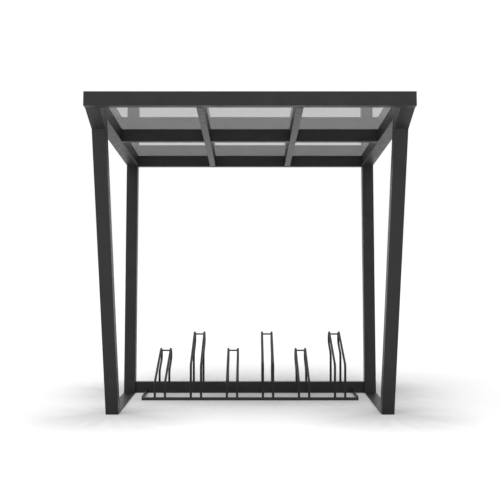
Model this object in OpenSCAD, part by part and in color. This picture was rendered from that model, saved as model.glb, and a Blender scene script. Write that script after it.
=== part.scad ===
// Open bike shelter: two leaning side frames carry a sloping glazed roof over a six-place wheel rack.
// X runs to the right, the open front faces -Y and Z is up. Lengths are millimetres, angles degrees.

/* [Roof] */
// Overall width across the side frames
shelter_w = 2270; // [2100:10:2800]
// Height of the front beam's lower front edge above the ground
fascia_z = 2279; // [2150:1:2500]
// Fall of the roof towards the rear
roof_slope = 5.4; // [3:0.1:8]
// Length of the roof frame along its slope
roof_len = 2323; // [2200:1:2500]
// Distance from the front of the roof to the middle cross beam, along the slope
purlin_u = 1166; // [900:1:1400]

/* [Tubes] */
// Side of the square tube of the legs, posts and side rafters, and height of the beams
frame_tube = 100; // [80:1:110]
// Thickness of the beam across the front of the roof
fascia_t = 60; // [45:1:80]
// Thickness of the other beams, of the inner rafters and of the rear ground rail
beam_t = 50; // [40:1:60]
// Outer corner radius of the frame's tubes
tube_corner = 3; // [2:0.5:10]

/* [Side frames] */
// Distance from the front of the roof back to the front leg's face at the ground
leg_foot_y = 963; // [800:1:1100]
// Distance from the front of the roof back to the front leg's face under the side rafter
leg_head_y = 299; // [200:1:400]
// Height of the knee piece down the front leg's face
knee_drop = 93; // [60:1:140]
// Thickness of the flat bar that joins the leg and the post on the ground
base_t = 10; // [6:1:16]
// Diameter of the ground anchor holes in the flat bars
anchor_d = 14; // [9:1:22]
// Distance from an end of a flat bar to its anchor hole
anchor_end = 220; // [180:1:320]

/* [Glazing] */
// Thickness of the roof panes
pane_t = 9; // [6:0.5:12]
// Set-back of the panes from the front of the roof
pane_front = 38; // [20:1:44]
// Set-back of the panes from the rear of the roof
pane_rear = 10; // [0:1:30]
// Set-back of the outer panes from the outer faces of the side rafters
pane_side = 20; // [12:1:40]
// Joint between two panes
pane_gap = 6; // [3:0.5:12]
// Width of the capping strips over the panes
strip_w = 44; // [30:1:60]
// Thickness of the capping strips
strip_t = 4; // [3:0.5:6]
// Set-back of the capping strips from the ends of the panes
strip_end = 17; // [5:1:40]

/* [Bike rack] */
// Gap between the rack and the inner faces of the side frames
rack_side = 105; // [60:1:160]
// Distance from the rack's front face to the rear ground rail
rack_depth = 410; // [380:1:480]
// Side of the square tube of the rack's base
rack_tube = 25; // [22:1:35]
// Outer corner radius of the rack's base tubes
rack_corner = 2; // [1:0.5:3]
// Diameter of the bent tubes that hold a wheel
hoop_d = 20; // [14:1:22]
// Distance between the two tubes of a wheel holder, centre to centre
slot_w = 88; // [75:1:100]
// Radius of the lower bends, to the tube's centre line
bend_r = 50; // [40:1:60]
// Radius of the round head, to the tube's centre line
head_r = 58; // [45:1:65]
// Rise of the sloping runs above the horizontal
hoop_rise = 22; // [15:1:28]
// Distance of the round head's centre behind the rear tube
head_back = 154; // [120:1:170]
// Height at which the front tube of a low holder turns back
low_turn_z = 150; // [140:1:200]
// Extra height of the high holders
high_lift = 152; // [80:1:220]
// Diameter of the bar that ties the two tubes of a holder
tie_d = 14; // [8:1:16]
// Place of the tie bar on the round head, above the horizontal
tie_angle = 43; // [20:1:60]

/* [Hidden] */
$fn = 48;
frame_colour = [0.21, 0.22, 0.23];
rack_colour = [0.13, 0.135, 0.14];
glass_colour = [0.55, 0.58, 0.6, 0.5];
strip_colour = [0.3, 0.31, 0.32];
far = 4 * fascia_z;

half_w = shelter_w / 2;
inner_w = half_w - frame_tube;
mid_x = inner_w / 3;
rear_u = roof_len - beam_t;
post_u = roof_len - frame_tube;

// A point of the side view, as [y, z], from its distance along the roof and its height over the roof's underside
function roof_point(u, v) = [
    u * cos(roof_slope) + v * sin(roof_slope),
    fascia_z - u * sin(roof_slope) + v * cos(roof_slope)
];
// Where a line square to the roof crosses the height z
function post_y(u, z) = u / cos(roof_slope) - (fascia_z - z) * tan(roof_slope);

// The side view is measured from the front beam's sharp corner, and then centred on its true front and rear
front_y = tube_corner * (cos(roof_slope) + sin(roof_slope) - 1);
rear_y = roof_point(roof_len, frame_tube)[0];
centre_y = (front_y + rear_y) / 2;

head_z = fascia_z - leg_head_y * tan(roof_slope);
leg_lean = atan2(leg_foot_y - leg_head_y, head_z);
knee_low = [leg_head_y + knee_drop * sin(leg_lean), head_z - knee_drop * cos(leg_lean)];
base_end_y = post_y(roof_len, 0);

rail_h = frame_tube;
rail_y = (post_y(post_u, rail_h / 2) + post_y(roof_len, rail_h / 2)) / 2;
rail_front = rail_y - beam_t / 2;

place_count = 6;
rack_w = 2 * (inner_w - rack_side);
place_pitch = rack_w / place_count;
rack_front = rail_front - rack_depth;
hoop_front = rack_front + rack_tube / 2;
turn = bend_r * tan((90 - hoop_rise) / 2);
// Extra diameter of a tube in its bends, and the length of straight tube inside the end of a bend
bend_swell = 0.2;
bend_lap = 2;

// Centre of a holder's round head in the side view, from the height at which its front tube turns back
function head_point(turn_z) = [
    rail_y + head_back,
    turn_z + (rail_y + head_back - hoop_front) * tan(hoop_rise) - head_r / cos(hoop_rise)
];

pane_top = frame_tube + pane_t;
pane_len = roof_len - pane_front - pane_rear;

// Puts the side view's middle at the origin
module placed() {
    translate([0, -centre_y, 0]) children();
}

// The roof's own frame: Y runs back along the slope, Z stands square on the beams' undersides
module on_roof() {
    placed() translate([0, 0, fascia_z]) rotate([-roof_slope, 0, 0]) children();
}

// Right-hand pieces for side 1, their mirror images for side -1
module on_side(side) {
    mirror([side < 0 ? 1 : 0, 0, 0]) children();
}

// A drawing in the side view, as [y, z], thickened along X
module side_plane() {
    rotate([90, 0, 90]) children();
}

module rounded_rect(width, height, radius) {
    translate([radius, 0]) square([width - 2 * radius, height]);
    translate([0, radius]) square([width, height - 2 * radius]);
    for (x = [radius, width - radius], y = [radius, height - radius])
        translate([x, y]) circle(radius);
}

module tube_along_x(length, depth, height, radius = tube_corner) {
    side_plane() linear_extrude(length) rounded_rect(depth, height, radius);
}

module tube_along_y(length, width, height, radius = tube_corner) {
    translate([0, length, 0]) rotate([90, 0, 0]) linear_extrude(length) rounded_rect(width, height, radius);
}

module tube_along_z(length, width, depth) {
    linear_extrude(length) rounded_rect(width, depth, tube_corner);
}

// Everything below a height, to cut the feet level
module below(height) {
    translate([-far / 2, -far / 2, height - far]) cube(far);
}

// Everything above the undersides of the roof's beams
module above_roof() {
    on_roof() translate([-far / 2, -far / 2, 0]) cube(far);
}

module front_fascia() {
    color(frame_colour) on_roof() translate([-half_w, 0, 0]) tube_along_x(shelter_w, fascia_t, frame_tube);
}

module rear_roof_beam() {
    color(frame_colour) on_roof() translate([-inner_w, rear_u, 0])
        tube_along_x(2 * inner_w, beam_t, frame_tube);
}

module side_rafter(side) {
    color(frame_colour) on_roof() on_side(side) translate([inner_w, fascia_t, 0])
        tube_along_y(roof_len - fascia_t, frame_tube, frame_tube);
}

module mid_rafter(side) {
    color(frame_colour) on_roof() on_side(side) translate([mid_x - beam_t / 2, fascia_t, 0])
        tube_along_y(rear_u - fascia_t, beam_t, frame_tube);
}

module mid_purlin(from_x, to_x) {
    color(frame_colour) on_roof() translate([from_x, purlin_u, 0])
        tube_along_x(to_x - from_x, beam_t, frame_tube);
}

module side_purlin(side) {
    on_side(side) mid_purlin(mid_x + beam_t / 2, inner_w);
}

module roof_pane(from_x, to_x) {
    color(glass_colour) on_roof() translate([from_x, pane_front, frame_tube])
        cube([to_x - from_x, pane_len, pane_t]);
}

module side_pane(side) {
    on_side(side) roof_pane(mid_x + pane_gap / 2, half_w - pane_side);
}

module strip_placed() {
    on_roof() translate([0, pane_front + strip_end, 0]) children();
}

// Flat strip over the joint of two panes
module joint_strip(side) {
    color(strip_colour) strip_placed() on_side(side) translate([mid_x - strip_w / 2, 0, pane_top])
        cube([strip_w, pane_len - 2 * strip_end, strip_t]);
}

// Angle strip that lies on an outer pane and stands on the side rafter beside it
module edge_strip(side) {
    outer = half_w - pane_side + strip_t;
    color(strip_colour) strip_placed() on_side(side)
        translate([0, pane_len - 2 * strip_end, 0]) rotate([90, 0, 0]) linear_extrude(pane_len - 2 * strip_end)
            polygon([
                [outer, frame_tube],
                [outer, pane_top + strip_t],
                [outer - strip_w, pane_top + strip_t],
                [outer - strip_w, pane_top],
                [outer - strip_t, pane_top],
                [outer - strip_t, frame_tube]
            ]);
}

module front_leg(side) {
    color(frame_colour) on_side(side) difference() {
        placed() translate([inner_w, leg_foot_y, 0]) rotate([leg_lean, 0, 0])
            translate([0, 0, -frame_tube]) tube_along_z(fascia_z + 3 * frame_tube, frame_tube, frame_tube);
        below(base_t);
        above_roof();
    }
}

// Wedge in the corner between the front leg's face and the side rafter
module knee(side) {
    color(frame_colour) on_side(side) placed() translate([inner_w, 0, 0]) side_plane() linear_extrude(frame_tube)
        polygon([roof_point(fascia_t, 0), knee_low, [leg_head_y, head_z]]);
}

module rear_post(side) {
    length = fascia_z + frame_tube;
    color(frame_colour) on_side(side) difference() {
        on_roof() translate([inner_w, post_u, -length]) tube_along_z(length, frame_tube, frame_tube);
        below(base_t);
    }
}

module base_bar(side) {
    color(frame_colour) on_side(side) placed() difference() {
        translate([inner_w, leg_foot_y, 0]) cube([frame_tube, base_end_y - leg_foot_y, base_t]);
        for (y = [leg_foot_y + anchor_end, base_end_y - anchor_end])
            translate([inner_w + frame_tube / 2, y, -base_t]) cylinder(d = anchor_d, h = 3 * base_t);
    }
}

module rear_ground_rail() {
    color(frame_colour) placed() translate([-inner_w, rail_front, 0]) tube_along_x(2 * inner_w, beam_t, rail_h);
}

module rack_front_rail() {
    color(rack_colour) placed() translate([-rack_w / 2, rack_front, 0])
        tube_along_x(rack_w, rack_tube, rack_tube, rack_corner);
}

module rack_bar(side) {
    color(rack_colour) on_side(side) placed() translate([rack_w / 2 - rack_tube, rack_front + rack_tube, 0])
        tube_along_y(rack_depth - rack_tube, rack_tube, rack_tube, rack_corner);
}

// Straight tube in the side view, from a point and along a direction
module straight(from, direction, length) {
    translate([from[0], from[1], 0]) rotate([0, 0, direction]) rotate([0, 90, 0]) cylinder(d = hoop_d, h = length);
}

// Bent tube in the side view, round a centre; a bend stands a hair proud of the straight tube that runs into it
module bent(centre, radius, start, sweep) {
    translate([centre[0], centre[1], 0]) rotate([0, 0, start]) rotate_extrude(angle = sweep)
        translate([radius, 0]) circle(d = hoop_d + bend_swell);
}

// One tube of a wheel holder: up from the rack's front, back along the slope, round the head and down to the rail
module hoop(turn_z) {
    head = head_point(turn_z);
    rear_turn_z = head[1] - head_r / cos(hoop_rise) - head_back * tan(hoop_rise);
    across = head_r * [-sin(hoop_rise), cos(hoop_rise)];
    along = [cos(hoop_rise), sin(hoop_rise)];
    upper_from = [hoop_front, turn_z] + (turn - bend_lap) * along;
    lower_from = [rail_y, rear_turn_z] + (turn - bend_lap) * along;
    straight([hoop_front, rack_tube], 90, turn_z - turn + bend_lap - rack_tube);
    bent([hoop_front + bend_r, turn_z - turn], bend_r, 90 + hoop_rise, 90 - hoop_rise);
    straight(upper_from, hoop_rise, norm(head + across - upper_from) + bend_lap);
    bent(head, head_r, hoop_rise - 90, 180);
    straight(lower_from, hoop_rise, norm(head - across - lower_from) + bend_lap);
    bent([rail_y + bend_r, rear_turn_z - turn], bend_r, 90 + hoop_rise, 90 - hoop_rise);
    straight([rail_y, rail_h], 90, rear_turn_z - turn + bend_lap - rail_h);
}

// Low holders stand at the odd places and high ones at the even places, counted from the left
module wheel_holder(place) {
    x = (place - (place_count + 1) / 2) * place_pitch;
    turn_z = low_turn_z + (place % 2 == 0 ? high_lift : 0);
    tie = head_point(turn_z) + head_r * [cos(tie_angle), sin(tie_angle)];
    color(rack_colour) placed() translate([x, 0, 0]) side_plane() {
        for (side = [-1, 1])
            translate([0, 0, side * slot_w / 2]) hoop(turn_z);
        translate([tie[0], tie[1], -slot_w / 2]) cylinder(d = tie_d, h = slot_w);
    }
}

front_fascia();
rear_roof_beam();
side_rafter(-1);  // left_side_rafter
side_rafter(1);  // right_side_rafter
mid_rafter(-1);  // left_mid_rafter
mid_rafter(1);  // right_mid_rafter
side_purlin(-1);  // left_mid_purlin
mid_purlin(beam_t / 2 - mid_x, mid_x - beam_t / 2);  // centre_mid_purlin
side_purlin(1);  // right_mid_purlin
side_pane(-1);  // left_roof_pane
roof_pane(pane_gap / 2 - mid_x, mid_x - pane_gap / 2);  // centre_roof_pane
side_pane(1);  // right_roof_pane
edge_strip(-1);  // left_edge_strip
joint_strip(-1);  // left_joint_strip
joint_strip(1);  // right_joint_strip
edge_strip(1);  // right_edge_strip
front_leg(-1);  // left_front_leg
front_leg(1);  // right_front_leg
knee(-1);  // left_knee
knee(1);  // right_knee
rear_post(-1);  // left_rear_post
rear_post(1);  // right_rear_post
base_bar(-1);  // left_base_bar
base_bar(1);  // right_base_bar
rear_ground_rail();
rack_front_rail();
rack_bar(-1);  // left_rack_bar
rack_bar(1);  // right_rack_bar
wheel_holder(1);  // wheel_holder_1
wheel_holder(2);  // wheel_holder_2
wheel_holder(3);  // wheel_holder_3
wheel_holder(4);  // wheel_holder_4
wheel_holder(5);  // wheel_holder_5
wheel_holder(6);  // wheel_holder_6
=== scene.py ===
"""Studio scene of an open bike shelter: finishes, welds, screws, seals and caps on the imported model."""
import math

import bmesh
import bpy
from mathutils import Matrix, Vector


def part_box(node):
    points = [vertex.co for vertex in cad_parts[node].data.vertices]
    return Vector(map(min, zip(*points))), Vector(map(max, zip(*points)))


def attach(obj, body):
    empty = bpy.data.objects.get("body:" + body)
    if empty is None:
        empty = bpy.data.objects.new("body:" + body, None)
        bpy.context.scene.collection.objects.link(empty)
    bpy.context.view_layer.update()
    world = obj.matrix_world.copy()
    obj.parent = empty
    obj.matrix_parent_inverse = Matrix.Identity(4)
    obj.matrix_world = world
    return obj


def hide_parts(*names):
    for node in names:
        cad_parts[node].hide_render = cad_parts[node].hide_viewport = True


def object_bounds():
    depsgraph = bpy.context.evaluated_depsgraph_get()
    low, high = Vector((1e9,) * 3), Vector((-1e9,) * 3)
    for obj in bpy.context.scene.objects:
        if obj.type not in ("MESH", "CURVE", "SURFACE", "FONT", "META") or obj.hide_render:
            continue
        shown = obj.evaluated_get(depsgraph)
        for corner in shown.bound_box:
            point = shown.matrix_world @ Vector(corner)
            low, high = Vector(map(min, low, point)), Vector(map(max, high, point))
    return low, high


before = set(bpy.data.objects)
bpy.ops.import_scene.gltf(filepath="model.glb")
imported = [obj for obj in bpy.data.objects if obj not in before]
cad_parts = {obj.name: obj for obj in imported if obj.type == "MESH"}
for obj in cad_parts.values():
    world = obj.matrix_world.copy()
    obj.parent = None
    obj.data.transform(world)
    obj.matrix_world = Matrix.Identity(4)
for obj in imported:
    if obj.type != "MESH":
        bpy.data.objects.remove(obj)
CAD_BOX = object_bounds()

ROOT = "root"
MM = 0.001
SIDES = (-1, 1)
ACROSS = Vector((1, 0, 0))
BACK = Vector((0, 1, 0))
UP = Vector((0, 0, 1))
WHITE = (1, 1, 1, 1)

# Camera fitted to the photograph: level, on the shelter's middle line
IMAGE_PX = 500
FOCAL_PX = 920
HORIZON_PX = 248
SENSOR_MM = 36.0
CAMERA_Y = -7.4243
CAMERA_Z = 1.309

# Sizes of the roof: places along its slope, from the front, end in U
SLOPE = math.radians(5.4)
TUBE_CORNER = 3 * MM
FRAME_TUBE = 100 * MM
FASCIA_T = 60 * MM
FASCIA_Z = 2279 * MM
BEAM_T = 50 * MM
ROOF_LEN = 2323 * MM
BAYS = 3
PURLIN_U = 1166 * MM
REAR_U = ROOF_LEN - BEAM_T
POST_U = ROOF_LEN - FRAME_TUBE
PANE_FRONT_U = 38 * MM
PANE_REAR = 10 * MM
PANE_REAR_U = ROOF_LEN - PANE_REAR
PANE_T = 9 * MM
PANE_GAP = 6 * MM
PANE_SIDE = 20 * MM
STRIP_T = 4 * MM
STRIP_W = 44 * MM

# Where the leaning legs meet the ground and the roof, behind the fascia's front
LEG_FOOT = 963 * MM
LEG_HEAD = 299 * MM
LEG_LEAN = math.atan2(LEG_FOOT - LEG_HEAD, FASCIA_Z - LEG_HEAD * math.tan(SLOPE))

# Sizes of the rack and its wheel holders: a bend stands a hair proud of the straight tube
PLACES = 6
SLOT_W = 88 * MM
RACK_TUBE = 25 * MM
RACK_CORNER = 2 * MM
HOOP_R = 10 * MM
HEAD_R = 58 * MM
BEND_PROUD = 0.1 * MM
TIE_R = 7 * MM
TIE_ANGLE = math.radians(43)

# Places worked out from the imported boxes
HALF_W = CAD_BOX[1].x
INNER_W = HALF_W - FRAME_TUBE
MID_X = INNER_W / BAYS
ROOF_Y = CAD_BOX[0].y - TUBE_CORNER * (math.cos(SLOPE) + math.sin(SLOPE) - 1)
RAIL_LOW, RAIL_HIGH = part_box("rear_ground_rail")
RACK_LOW, RACK_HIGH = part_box("rack_front_rail")
RACK_W = RACK_HIGH.x - RACK_LOW.x
PITCH = RACK_W / PLACES

# Small rounds on edges
SMALL_BEVEL = 0.8 * MM
BEVEL_STEPS = 3
SHARP_ANGLE = math.radians(40)
JOIN_DISTANCE = 0.01 * MM
NORMAL_WEIGHT = 100

# Weld beads: their rings are by turns full and a little smaller, and a bead past STEEP counts as upright
WELD_R = 2.8 * MM
FINE_WELD_R = 1.8 * MM
WELD_STEP = 3 * MM
WELD_SIDES = 7
WELD_RIPPLE = 0.84
ROUND_WELD_POINTS = 20
STEEP = 0.8
WELD_TOP = FRAME_TUBE - 2 * TUBE_CORNER

# Screws of the capping strips
SCREW_PITCH = 320 * MM
SCREW_END = 60 * MM
SCREW_SEGMENTS = 24
WASHER_R = 9 * MM
WASHER_TOP_R = 0.95 * WASHER_R
WASHER_T = 1.4 * MM
WASHER_SIDE_H = 0.8 * WASHER_T
SCREW_R = 6 * MM
SCREW_SHOULDER_R = 0.86 * SCREW_R
SCREW_TOP_R = 0.62 * SCREW_R
SCREW_H = 3.4 * MM
SCREW_SIDE_H = 0.35 * SCREW_H
SCREW_SHOULDER_H = 0.8 * SCREW_H
SOCKET_R = 2.3 * MM
SOCKET_DEPTH = 2 * MM
HEXAGON_SIDE = math.pi / 3

# Gasket under the panes, with a lip that reaches into the bay, and sealant between the panes
GASKET_REACH = 2.5 * MM
GASKET_LIP = 1.2 * MM
GASKET_WAIST = 1.2 * MM
GASKET_NECK = 2.6 * MM
GASKET_DROP = 4.5 * MM
SEAL_END = 2 * MM
SEAL_DISH = 1.5 * MM

# End caps, and the upright flats at the ends of the rack
ROUND_STEPS = 5
CAP_T = 1.6 * MM
CAP_EDGE = 0.8 * MM
RACK_FLAT_T = 6 * MM
RACK_FLAT_H = 35 * MM
RACK_FLAT_ROUND = 3 * MM
RACK_FLAT_PROUD = 1 * MM
RACK_FLAT_BEVEL_STEPS = 2

# Textures of the finishes: the scale counts repeats in a metre
CLOUDS = {"scale": 7, "detail": 5, "roughness": 0.6}
SCUFFS = {"scale": 60, "detail": 4, "roughness": 0.7}
PATCHES = {"scale": 23, "detail": 4, "roughness": 0.55}
PEEL = {"scale": 420, "detail": 3, "roughness": 0.5}
DUST = {"scale": 5, "detail": 6, "roughness": 0.6}
BLOOM = {"scale": 40, "detail": 4, "roughness": 0.5}
TURNING = {"scale": 300, "detail": 3, "roughness": 0.5}
NOISE_LOW = 0.3
NOISE_HIGH = 0.7
BUMP_DEPTH = 0.5 * MM
PEEL_STRENGTH = 0.15
BLOOM_STRENGTH = 0.1

# Wear of the coats, with a painted highlight along their edges: the width of the paler edge, and the
# ranges of turned normal and of noise that show it
WEAR_AND_HIGHLIGHT_WIDTH = 2.5 * MM
WEAR_AND_HIGHLIGHT_SAMPLES = 4
EDGE_TURNED = 0.8
EDGE_FLAT = 0.99
RUB_START = 0.45
RUB_END = 0.7

# Colours and gloss of the finishes
COAT_IOR = 1.4
# The paler edge colours below paint rubbed wear and a painted highlight along the coats' edges.
FRAME_DARK = (0.0105, 0.0107, 0.011)
FRAME_PALE = (0.0165, 0.0168, 0.0172)
FRAME_WEAR_AND_HIGHLIGHT = (0.03, 0.031, 0.032)
FRAME_ROUGH = (0.39, 0.51)
RACK_DARK = (0.019, 0.0193, 0.0197)
RACK_PALE = (0.026, 0.0264, 0.027)
RACK_ROUGH = (0.36, 0.46)
HOLDER_DARK = (0.003, 0.003, 0.0032)
HOLDER_PALE = (0.006, 0.006, 0.0063)
HOLDER_WEAR_AND_HIGHLIGHT = (0.022, 0.0225, 0.023)
HOLDER_ROUGH = (0.42, 0.52)
STRIP_DARK = (0.03, 0.031, 0.032)
STRIP_PALE = (0.04, 0.041, 0.042)
STRIP_WEAR_AND_HIGHLIGHT = (0.055, 0.056, 0.058)
STRIP_ROUGH = (0.32, 0.42)
GLASS_IOR = 1.4
GLASS_DARK = (0.33, 0.33, 0.33)
GLASS_PALE = (0.35, 0.35, 0.35)
GLASS_ROUGH = (0.0, 0.03)
RUBBER_DARK = (0.008, 0.008, 0.008)
RUBBER_PALE = (0.016, 0.016, 0.017)
RUBBER_ROUGH = (0.55, 0.75)
STEEL_DARK = (0.42, 0.42, 0.43)
STEEL_PALE = (0.56, 0.56, 0.57)
STEEL_ROUGH = (0.22, 0.4)

# Stage and light
STAGE_HALF = 60.0
STAGE_CELLS = 8
FLOOR_LIFT = 0.09
FLOOR_PALE = (0.9, 0.9, 0.9)
# The floor's colour is painted darker, towards the shaded colour, close to what stands on it.
FLOOR_SHADED = (0.6, 0.6, 0.6)
SHADE_REACH = 0.8
SHADE_START = 0.94
WORLD_LEVEL = 0.35
LEFT_KEY_FROM = (-0.7, -1.25, 2.3)
LEFT_KEY = 2.0
RIGHT_KEY_FROM = (0.65, -1.4, 2.3)
RIGHT_KEY = 0.9
KEY_SPREAD = math.radians(46)


def roof_point(x, u, v):
    """A point from its place across, along the roof's slope and square to the beams' undersides."""
    y = ROOF_Y + u * math.cos(SLOPE) + v * math.sin(SLOPE)
    z = FASCIA_Z - u * math.sin(SLOPE) + v * math.cos(SLOPE)
    return Vector((x, y, z))


ALONG_ROOF = (roof_point(0, 1, 0) - roof_point(0, 0, 0)).normalized()
ROOF_UP = ACROSS.cross(ALONG_ROOF)


def new_piece(name, mesh_builder, material, smooth=True):
    """A piece from a bmesh builder, with its material and its body."""
    mesh = bpy.data.meshes.new(name)
    bm = bmesh.new()
    mesh_builder(bm)
    bmesh.ops.recalc_face_normals(bm, faces=bm.faces)
    bm.to_mesh(mesh)
    bm.free()
    for polygon in mesh.polygons:
        polygon.use_smooth = smooth
    piece = bpy.data.objects.new(name, mesh)
    bpy.context.scene.collection.objects.link(piece)
    piece.data.materials.append(material)
    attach(piece, ROOT)
    return piece


def join_rings(bm, rings):
    """Four-sided faces between each ring of vertices and the next."""
    for first, second in zip(rings, rings[1:]):
        for here in range(len(first)):
            after = (here + 1) % len(first)
            bm.faces.new((first[here], first[after], second[after], second[here]))


# Finishes

def new_material(name):
    """An empty node material with a Principled shader, as (material, nodes, links, shader)."""
    material = bpy.data.materials.new(name)
    material.use_nodes = True
    nodes = material.node_tree.nodes
    links = material.node_tree.links
    nodes.clear()
    shader = nodes.new("ShaderNodeBsdfPrincipled")
    output = nodes.new("ShaderNodeOutputMaterial")
    links.new(shader.outputs["BSDF"], output.inputs["Surface"])
    return material, nodes, links, shader


def noise(nodes, links, scale, detail, roughness):
    """The values of a noise texture in the object's own metres."""
    place = nodes.new("ShaderNodeTexCoord")
    texture = nodes.new("ShaderNodeTexNoise")
    texture.inputs["Scale"].default_value = scale
    texture.inputs["Detail"].default_value = detail
    texture.inputs["Roughness"].default_value = roughness
    links.new(place.outputs["Object"], texture.inputs["Vector"])
    return texture.outputs["Fac"]


def colour_ramp(nodes, links, source, low, high, start=NOISE_LOW, end=NOISE_HIGH):
    """A ramp between two colours over part of a source's range."""
    ramp = nodes.new("ShaderNodeValToRGB")
    ramp.color_ramp.elements[0].position = start
    ramp.color_ramp.elements[0].color = (*low, 1)
    ramp.color_ramp.elements[1].position = end
    ramp.color_ramp.elements[1].color = (*high, 1)
    links.new(source, ramp.inputs["Fac"])
    return ramp.outputs["Color"]


def value_range(nodes, links, source, low, high, start=NOISE_LOW, end=NOISE_HIGH):
    """Part of a source's range taken to a range of values."""
    span = nodes.new("ShaderNodeMapRange")
    span.inputs["From Min"].default_value = start
    span.inputs["From Max"].default_value = end
    span.inputs["To Min"].default_value = low
    span.inputs["To Max"].default_value = high
    links.new(source, span.inputs["Value"])
    return span.outputs["Result"]


def two_values(nodes, links, operation, first, second):
    """The result of a Math node on two values."""
    math_node = nodes.new("ShaderNodeMath")
    math_node.operation = operation
    links.new(first, math_node.inputs[0])
    links.new(second, math_node.inputs[1])
    return math_node.outputs["Value"]


def add_bump(nodes, links, shader, height, strength):
    """A fine relief on a shader's normal."""
    bump = nodes.new("ShaderNodeBump")
    bump.inputs["Strength"].default_value = strength
    bump.inputs["Distance"].default_value = BUMP_DEPTH
    links.new(height, bump.inputs["Height"])
    links.new(bump.outputs["Normal"], shader.inputs["Normal"])


def edge_mask(nodes, links):
    """1 along a piece's edges, where a rounded normal turns from the true one, and 0 on its flats."""
    rounded = nodes.new("ShaderNodeBevel")
    rounded.samples = WEAR_AND_HIGHLIGHT_SAMPLES
    rounded.inputs["Radius"].default_value = WEAR_AND_HIGHLIGHT_WIDTH
    flat = nodes.new("ShaderNodeNewGeometry")
    turn = nodes.new("ShaderNodeVectorMath")
    turn.operation = "DOT_PRODUCT"
    links.new(rounded.outputs["Normal"], turn.inputs[0])
    links.new(flat.outputs["Normal"], turn.inputs[1])
    return value_range(nodes, links, turn.outputs["Value"], 1, 0, EDGE_TURNED, EDGE_FLAT)


def powder_coat(name, dark, pale, wear_and_highlight_colour, rough):
    """Baked powder coat: faint clouds, fine orange peel, duller patches, and edges painted paler in
    places, partly as rubbed wear and partly as a painted highlight.
    """
    material, nodes, links, shader = new_material(name)
    clouded = colour_ramp(nodes, links, noise(nodes, links, **CLOUDS), dark, pale)
    rubbed = value_range(nodes, links, noise(nodes, links, **SCUFFS), 0, 1, RUB_START, RUB_END)
    # Edges paler where the scuff noise allows: partly rubbed wear, partly a painted highlight.
    wear_and_highlight_mask = two_values(nodes, links, "MULTIPLY", edge_mask(nodes, links), rubbed)
    colour = nodes.new("ShaderNodeMix")
    colour.data_type = "RGBA"
    links.new(wear_and_highlight_mask, colour.inputs["Factor"])
    links.new(clouded, colour.inputs["A"])
    colour.inputs["B"].default_value = (*wear_and_highlight_colour, 1)
    links.new(colour.outputs["Result"], shader.inputs["Base Color"])
    patched = value_range(nodes, links, noise(nodes, links, **PATCHES), *rough)
    links.new(patched, shader.inputs["Roughness"])
    add_bump(nodes, links, shader, noise(nodes, links, **PEEL), PEEL_STRENGTH)
    shader.inputs["IOR"].default_value = COAT_IOR
    return material


def textured(name, texture, dark, pale, rough, relief=0):
    """A material whose colour, roughness and any relief follow one texture, as (material, shader)."""
    material, nodes, links, shader = new_material(name)
    values = noise(nodes, links, **texture)
    links.new(colour_ramp(nodes, links, values, dark, pale), shader.inputs["Base Color"])
    links.new(value_range(nodes, links, values, *rough), shader.inputs["Roughness"])
    if relief:
        add_bump(nodes, links, shader, values, relief)
    return material, shader


def roof_glass(name):
    """Grey body-tinted glass with a faint film of dust."""
    material, shader = textured(name, DUST, GLASS_DARK, GLASS_PALE, GLASS_ROUGH)
    shader.inputs["Transmission Weight"].default_value = 1
    shader.inputs["IOR"].default_value = GLASS_IOR
    return material


def rubber(name):
    """Matt black gasket rubber with a slight bloom."""
    material, _ = textured(name, BLOOM, RUBBER_DARK, RUBBER_PALE, RUBBER_ROUGH, BLOOM_STRENGTH)
    return material


def stainless(name):
    """Turned stainless steel for the screws."""
    material, shader = textured(name, TURNING, STEEL_DARK, STEEL_PALE, STEEL_ROUGH)
    shader.inputs["Metallic"].default_value = 1
    return material


frame_coat = powder_coat("frame_coat", FRAME_DARK, FRAME_PALE, FRAME_WEAR_AND_HIGHLIGHT, FRAME_ROUGH)
rack_coat = powder_coat("rack_coat", RACK_DARK, RACK_PALE, FRAME_WEAR_AND_HIGHLIGHT, RACK_ROUGH)
holder_coat = powder_coat("holder_coat", HOLDER_DARK, HOLDER_PALE, HOLDER_WEAR_AND_HIGHLIGHT, HOLDER_ROUGH)
strip_coat = powder_coat("strip_coat", STRIP_DARK, STRIP_PALE, STRIP_WEAR_AND_HIGHLIGHT, STRIP_ROUGH)
pane_glass = roof_glass("roof_glass")
gasket_rubber = rubber("gasket_rubber")
screw_steel = stainless("screw_steel")


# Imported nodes

def coat_of(name):
    """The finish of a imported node."""
    if name.endswith("roof_pane"):
        return pane_glass
    if name.endswith("strip"):
        return strip_coat
    if name.startswith("wheel_holder"):
        return holder_coat
    if "rack" in name:
        return rack_coat
    return frame_coat


def soften_edges(node_object):
    """A small round on a node's sharp edges, joined first where they are split, so that it finds them."""
    weld = node_object.modifiers.new("join_corners", "WELD")
    weld.merge_threshold = JOIN_DISTANCE
    bevel = node_object.modifiers.new("soft_edges", "BEVEL")
    bevel.width = SMALL_BEVEL
    bevel.segments = BEVEL_STEPS
    bevel.limit_method = "ANGLE"
    bevel.angle_limit = SHARP_ANGLE
    normals = node_object.modifiers.new("flat_faces", "WEIGHTED_NORMAL")
    normals.mode = "FACE_AREA"
    normals.weight = NORMAL_WEIGHT


for node_name, node_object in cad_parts.items():
    node_object.data.materials.clear()
    node_object.data.materials.append(coat_of(node_name))
    if node_name.endswith(("knee", "strip", "pane")):
        soften_edges(node_object)


# Welds

def bead_places(points, closed):
    """Places a weld step apart along a line of points."""
    ends = points + points[:1] if closed else points
    places = []
    for start, end in zip(ends, ends[1:]):
        steps = max(1, round((end - start).length / WELD_STEP))
        places += [start.lerp(end, step / steps) for step in range(steps)]
    if not closed:
        places.append(ends[-1])
    return places


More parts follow.
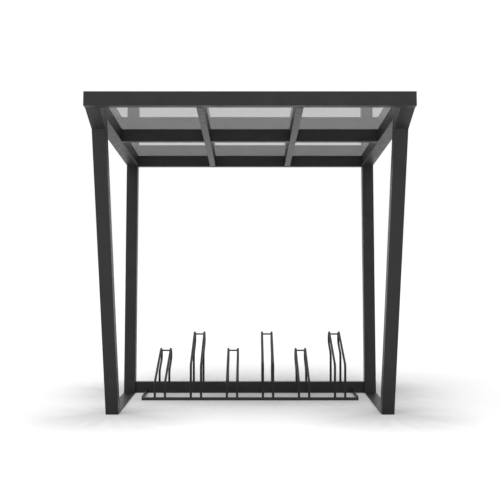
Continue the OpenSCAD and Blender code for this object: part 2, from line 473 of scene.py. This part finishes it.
def add_bead(bm, points, radius, closed=False):
    """A weld bead of rippled round section along a line of points."""
    places = bead_places(points, closed)
    count = len(places)
    rings = []
    for index, place in enumerate(places):
        before = places[index - 1] if closed or index else place
        after = places[(index + 1) % count] if closed or index + 1 < count else place
        along = (after - before).normalized()
        helper = UP if abs(along.z) < STEEP else ACROSS
        side = along.cross(helper).normalized()
        top = side.cross(along)
        size = radius * (1 if index % 2 else WELD_RIPPLE)
        ring = circle_points(place, size, side, top, WELD_SIDES)
        rings.append([bm.verts.new(point) for point in ring])
    if closed:
        join_rings(bm, rings + rings[:1])
    else:
        join_rings(bm, rings)
        bm.faces.new(rings[0])
        bm.faces.new(rings[-1])


def circle_points(centre, radius, axis_a, axis_b, count):
    """Points round a circle in the plane of two axes."""
    angles = [2 * math.pi * step / count for step in range(count)]
    return [centre + radius * (math.cos(angle) * axis_a + math.sin(angle) * axis_b) for angle in angles]


def three_sides(place, low, high, top):
    """Points round three sides of a beam's end: place(a, v) is a across it and v from its middle side."""
    corner = TUBE_CORNER
    return [
        place(low, top), place(low, corner), place(low + corner, 0),
        place(high - corner, 0), place(high, corner), place(high, top),
    ]


def roof_welds(bm):
    """Fillet welds under the roof: three sides of each butt joint, clear of the panes."""
    half = BEAM_T / 2
    corner = TUBE_CORNER
    for side in SIDES:
        middle = side * MID_X
        for u in (FASCIA_T, REAR_U):
            line = three_sides(lambda x, v: roof_point(x, u, v), middle - half, middle + half, WELD_TOP)
            add_bead(bm, line, WELD_R)
        for x in (side * (MID_X - half), side * (MID_X + half), side * INNER_W):
            line = three_sides(lambda u, v: roof_point(x, u, v), PURLIN_U, PURLIN_U + BEAM_T, WELD_TOP)
            add_bead(bm, line, WELD_R)
        inner = side * INNER_W
        add_bead(bm, [roof_point(inner, FASCIA_T, WELD_TOP), roof_point(inner, FASCIA_T, corner)], WELD_R)
        add_bead(bm, [
            roof_point(inner, REAR_U, WELD_TOP), roof_point(inner, REAR_U, corner),
            roof_point(inner, REAR_U + corner, 0), roof_point(inner, ROOF_LEN - corner, 0),
        ], WELD_R)
        add_bead(bm, [
            roof_point(side * (INNER_W + corner), POST_U, 0),
            roof_point(side * (HALF_W - corner), POST_U, 0),
        ], WELD_R)


def leg_welds(bm):
    """Welds across the legs' rear faces, at both ends, and across the posts' front faces, at the foot."""
    leg_low, leg_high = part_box("right_front_leg")
    post_low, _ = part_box("right_rear_post")
    foot = Vector((leg_high.y, leg_low.z))
    roof_over_foot = FASCIA_Z - foot.y - (foot.x - ROOF_Y) * math.tan(SLOPE)
    rise = roof_over_foot / (1 - math.tan(LEG_LEAN) * math.tan(SLOPE))
    head = foot + rise * Vector((-math.tan(LEG_LEAN), 1))
    for y, z in (foot, head, (post_low.y, post_low.z)):
        for side in SIDES:
            inner = side * (INNER_W + TUBE_CORNER)
            outer = side * (HALF_W - TUBE_CORNER)
            add_bead(bm, [Vector((inner, y, z)), Vector((outer, y, z))], WELD_R)


def ground_welds(bm):
    """Fillet welds at the ends of the rear rail and of the rack's upright flats."""
    rail_top = RAIL_HIGH.z
    for side in SIDES:
        end = side * INNER_W
        line = three_sides(
            lambda y, drop: Vector((end, y, rail_top - drop)),
            RAIL_LOW.y, RAIL_HIGH.y, rail_top - TUBE_CORNER,
        )
        add_bead(bm, line, WELD_R)
        outer = side * RACK_W / 2
        inner = side * (RACK_W / 2 - RACK_FLAT_T)
        add_bead(bm, [
            Vector((inner, RACK_HIGH.y, FINE_WELD_R)),
            Vector((inner, RACK_HIGH.y, RACK_TUBE - RACK_CORNER)),
        ], FINE_WELD_R)
        add_bead(bm, [
            Vector((inner, RAIL_LOW.y, FINE_WELD_R)), Vector((inner, RAIL_LOW.y, RACK_FLAT_H)),
            Vector((outer, RAIL_LOW.y, RACK_FLAT_H)), Vector((outer, RAIL_LOW.y, FINE_WELD_R)),
        ], FINE_WELD_R)


def add_round_weld(bm, centre, radius, axis_a, axis_b):
    """A weld bead round the end of a tube or bar."""
    points = circle_points(centre, radius, axis_a, axis_b, ROUND_WELD_POINTS)
    add_bead(bm, points, FINE_WELD_R, closed=True)


def holder_welds(bm):
    """Round welds at the feet of the bent tubes and at the ends of their tie bars."""
    rack_y = (RACK_LOW.y + RACK_HIGH.y) / 2
    rail_y = (RAIL_LOW.y + RAIL_HIGH.y) / 2
    reach = HEAD_R + HOOP_R + BEND_PROUD
    for place in range(PLACES):
        _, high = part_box(f"wheel_holder_{place + 1}")
        tie_y = high.y - reach + HEAD_R * math.cos(TIE_ANGLE)
        tie_z = high.z - reach + HEAD_R * math.sin(TIE_ANGLE)
        for side in SIDES:
            x = (place - (PLACES - 1) / 2) * PITCH + side * SLOT_W / 2
            add_round_weld(bm, Vector((x, rack_y, RACK_TUBE)), HOOP_R, ACROSS, BACK)
            add_round_weld(bm, Vector((x, rail_y, RAIL_HIGH.z)), HOOP_R, ACROSS, BACK)
            add_round_weld(bm, Vector((x - side * HOOP_R, tie_y, tie_z)), TIE_R, BACK, UP)


new_piece("roof_welds", roof_welds, frame_coat)
new_piece("leg_welds", leg_welds, frame_coat)
new_piece("ground_welds", ground_welds, frame_coat)
new_piece("wheel_holder_welds", holder_welds, holder_coat)


# Screws

def add_screw(bm, foot):
    """A pan-head screw with a hexagon socket, on its washer, square to the roof."""
    rim = WASHER_T + SCREW_H
    profile = [
        (WASHER_R, 0, False), (WASHER_R, WASHER_SIDE_H, False), (WASHER_TOP_R, WASHER_T, False),
        (SCREW_R, WASHER_T, False), (SCREW_R, WASHER_T + SCREW_SIDE_H, False),
        (SCREW_SHOULDER_R, WASHER_T + SCREW_SHOULDER_H, False), (SCREW_TOP_R, rim, False),
        (SOCKET_R, rim, True), (SOCKET_R, rim - SOCKET_DEPTH, True),
    ]
    rings = []
    for radius, height, hexagon in profile:
        ring = []
        for segment in range(SCREW_SEGMENTS):
            angle = 2 * math.pi * segment / SCREW_SEGMENTS
            wedge = (angle % HEXAGON_SIDE) - HEXAGON_SIDE / 2
            reach = radius / math.cos(wedge) if hexagon else radius
            outward = math.cos(angle) * ACROSS + math.sin(angle) * ALONG_ROOF
            ring.append(bm.verts.new(foot + reach * outward + height * ROOF_UP))
        rings.append(ring)
    join_rings(bm, rings)
    bm.faces.new(rings[-1])
    bm.faces.new(rings[0])


def strip_screws(bm):
    """Rows of screws along the middle of the capping strips."""
    first = PANE_FRONT_U + SCREW_END
    last = PANE_REAR_U - SCREW_END
    count = round((last - first) / SCREW_PITCH) + 1
    edge_x = HALF_W - PANE_SIDE + STRIP_T - STRIP_W / 2
    for x in (-edge_x, -MID_X, MID_X, edge_x):
        for index in range(count):
            u = first + (last - first) * index / (count - 1)
            add_screw(bm, roof_point(x, u, FRAME_TUBE + PANE_T + STRIP_T))


new_piece("strip_screws", strip_screws, screw_steel, smooth=False)


# Seals of the panes

# Section of the gasket round a glazed bay, as (inset from the beam's face, drop below the pane)
GASKET_SECTION = [
    (-TUBE_CORNER, 0), (GASKET_REACH, 0), (GASKET_REACH, GASKET_LIP), (GASKET_WAIST, GASKET_NECK),
    (0, GASKET_DROP), (0, TUBE_CORNER),
]


def glazing_gaskets(bm):
    """Rubber in the groove between the panes and the rounded top edges of the beams, round each bay."""
    half = BEAM_T / 2
    bays_x = ((-INNER_W, -MID_X - half), (half - MID_X, MID_X - half), (MID_X + half, INNER_W))
    bays_u = ((FASCIA_T, PURLIN_U), (PURLIN_U + BEAM_T, REAR_U))
    for low_x, high_x in bays_x:
        for low_u, high_u in bays_u:
            rings = []
            for inset, drop in GASKET_SECTION:
                left = low_x + inset
                right = high_x - inset
                front = low_u + inset
                rear = high_u - inset
                corners = ((left, front), (right, front), (right, rear), (left, rear))
                rings.append([bm.verts.new(roof_point(x, u, FRAME_TUBE - drop)) for x, u in corners])
            join_rings(bm, rings + rings[:1])


def pane_seals(bm):
    """Sealant in the joints between the panes, dished at its two ends."""
    half = PANE_GAP / 2
    first = PANE_FRONT_U + SEAL_END
    last = PANE_REAR_U - SEAL_END
    outline = [
        (-half, first), (0, first + SEAL_DISH), (half, first),
        (half, last), (0, last - SEAL_DISH), (-half, last),
    ]
    for side in SIDES:
        lower, upper = [
            [bm.verts.new(roof_point(side * MID_X + offset, u, v)) for offset, u in outline]
            for v in (FRAME_TUBE, FRAME_TUBE + PANE_T)
        ]
        bm.faces.new(lower)
        bm.faces.new(upper)
        join_rings(bm, [lower, upper])


new_piece("glazing_gaskets", glazing_gaskets, gasket_rubber, smooth=False)
new_piece("pane_seals", pane_seals, gasket_rubber, smooth=False)


# Ends of the rack and the frame

def arc_points(centre_a, centre_b, radius, start):
    """Points along a quarter circle that starts at an angle in degrees, as (a, b)."""
    angles = [math.radians(start + 90 * step / ROUND_STEPS) for step in range(ROUND_STEPS + 1)]
    return [
        (centre_a + radius * math.cos(angle), centre_b + radius * math.sin(angle)) for angle in angles
    ]


def rounded_corners(width, height, radius):
    """Points round a rectangle with round corners, as (a, b) from its lowest corner."""
    far = width - radius
    high = height - radius
    points = arc_points(far, radius, radius, -90)
    points += arc_points(far, high, radius, 0)
    points += arc_points(radius, high, radius, 90)
    points += arc_points(radius, radius, radius, 180)
    return points


def rack_flat(bm, bar_name):
    """The upright flat bar that stands for a node at one end of the rack and closes the front rail."""
    low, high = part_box(bar_name)
    outer = max(low.x, high.x, key=abs)
    outer += math.copysign(RACK_FLAT_PROUD, outer)
    inner = outer - math.copysign(RACK_FLAT_T, outer)
    front = RACK_LOW.y - RACK_FLAT_PROUD
    top = low.z + RACK_FLAT_H
    outline = [(front, low.z), (high.y, low.z), (high.y, top)]
    outline += arc_points(front + RACK_FLAT_ROUND, top - RACK_FLAT_ROUND, RACK_FLAT_ROUND, 90)
    faces = [[bm.verts.new((x, y, z)) for y, z in outline] for x in (inner, outer)]
    for face in faces:
        bm.faces.new(face)
    join_rings(bm, faces)
    bmesh.ops.bevel(
        bm, geom=bm.edges[:], offset=SMALL_BEVEL, segments=RACK_FLAT_BEVEL_STEPS, affect="EDGES",
        clamp_overlap=True,
    )


def add_cap(bm, corners, out):
    """A thin plate over a tube's end, with its outer edge rounded off."""
    middle = sum(corners, Vector()) / len(corners)
    rings = []
    for lift, inset in ((0, 0), (CAP_T - CAP_EDGE, 0), (CAP_T, CAP_EDGE)):
        ring = []
        for corner in corners:
            inward = (middle - corner).normalized()
            ring.append(bm.verts.new(corner + inward * inset + out * lift))
        rings.append(ring)
    join_rings(bm, rings)
    bm.faces.new(rings[0])
    bm.faces.new(rings[-1])


def frame_caps(bm):
    """End plates of the front beam and of the side rafters."""
    beam_end = rounded_corners(FASCIA_T, FRAME_TUBE, TUBE_CORNER)
    rafter_end = rounded_corners(FRAME_TUBE, FRAME_TUBE, TUBE_CORNER)
    for side in SIDES:
        add_cap(bm, [roof_point(side * HALF_W, u, v) for u, v in beam_end], Vector((side, 0, 0)))
        low_x = INNER_W if side > 0 else -HALF_W
        add_cap(bm, [roof_point(low_x + offset, ROOF_LEN, v) for offset, v in rafter_end], ALONG_ROOF)


for flat_name, bar_name in (("left_rack_flat", "left_rack_bar"), ("right_rack_flat", "right_rack_bar")):
    flat = new_piece(
        flat_name, lambda bm: rack_flat(bm, bar_name), holder_coat, smooth=False
    )
    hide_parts(bar_name)

new_piece("frame_end_caps", frame_caps, frame_coat, smooth=False)


# Stage, light and camera

def seen_level(nodes, links, hidden, shown):
    """One value for rays that reach the eye straight, mirrored or through glass, and one for the rest."""
    rays = nodes.new("ShaderNodeLightPath").outputs
    direct = two_values(nodes, links, "MAXIMUM", rays["Is Camera Ray"], rays["Is Glossy Ray"])
    seen = two_values(nodes, links, "MAXIMUM", direct, rays["Is Transmission Ray"])
    return value_range(nodes, links, seen, hidden, shown, 0, 1)


def white_floor():
    """A pale floor that is white where nothing shades it, with shade painted into its colour close to
    what stands on it.
    """
    mesh = bpy.data.meshes.new("studio_floor")
    bm = bmesh.new()
    bmesh.ops.create_grid(bm, x_segments=STAGE_CELLS, y_segments=STAGE_CELLS, size=STAGE_HALF)
    bm.to_mesh(mesh)
    bm.free()
    floor = bpy.data.objects.new("studio_floor", mesh)
    bpy.context.scene.collection.objects.link(floor)
    material, nodes, links, shader = new_material("floor_white")
    # Painted shade: the floor's colour darkens where the occlusion node finds things close by.
    near = nodes.new("ShaderNodeAmbientOcclusion")
    near.inputs["Distance"].default_value = SHADE_REACH
    shade = colour_ramp(nodes, links, near.outputs["AO"], FLOOR_SHADED, FLOOR_PALE, SHADE_START, 1)
    links.new(shade, shader.inputs["Base Color"])
    shader.inputs["Roughness"].default_value = 1
    shader.inputs["Specular IOR Level"].default_value = 0
    shader.inputs["Emission Color"].default_value = WHITE
    links.new(seen_level(nodes, links, 0, FLOOR_LIFT), shader.inputs["Emission Strength"])
    floor.data.materials.append(material)


def key_lamp(name, direction, strength):
    """A broad, even lamp that shines from a direction high in front."""
    data = bpy.data.lights.new(name, "SUN")
    data.energy = strength
    data.angle = KEY_SPREAD
    lamp = bpy.data.objects.new(name, data)
    lamp.rotation_euler = Vector(direction).to_track_quat("Z", "Y").to_euler()
    lamp.visible_glossy = False
    bpy.context.scene.collection.objects.link(lamp)


def white_world():
    """White to the camera and in reflections, a plainer level as a light."""
    world = bpy.data.worlds.new("studio_world")
    bpy.context.scene.world = world
    world.use_nodes = True
    nodes = world.node_tree.nodes
    links = world.node_tree.links
    nodes.clear()
    background = nodes.new("ShaderNodeBackground")
    background.inputs["Color"].default_value = WHITE
    links.new(seen_level(nodes, links, WORLD_LEVEL, 1), background.inputs["Strength"])
    output = nodes.new("ShaderNodeOutputWorld")
    links.new(background.outputs["Background"], output.inputs["Surface"])


def photo_camera():
    """A level camera with the photograph's viewing angle."""
    data = bpy.data.cameras.new("photo_camera")
    data.sensor_width = SENSOR_MM
    data.lens = SENSOR_MM * FOCAL_PX / IMAGE_PX
    data.shift_y = (HORIZON_PX - IMAGE_PX / 2) / IMAGE_PX
    camera = bpy.data.objects.new("photo_camera", data)
    camera.location = (0, CAMERA_Y, CAMERA_Z)
    camera.rotation_euler = (math.pi / 2, 0, 0)
    bpy.context.scene.collection.objects.link(camera)
    bpy.context.scene.camera = camera


white_floor()
white_world()
key_lamp("left_key", LEFT_KEY_FROM, LEFT_KEY)
key_lamp("right_key", RIGHT_KEY_FROM, RIGHT_KEY)
photo_camera()
bpy.context.scene.view_settings.view_transform = "Standard"
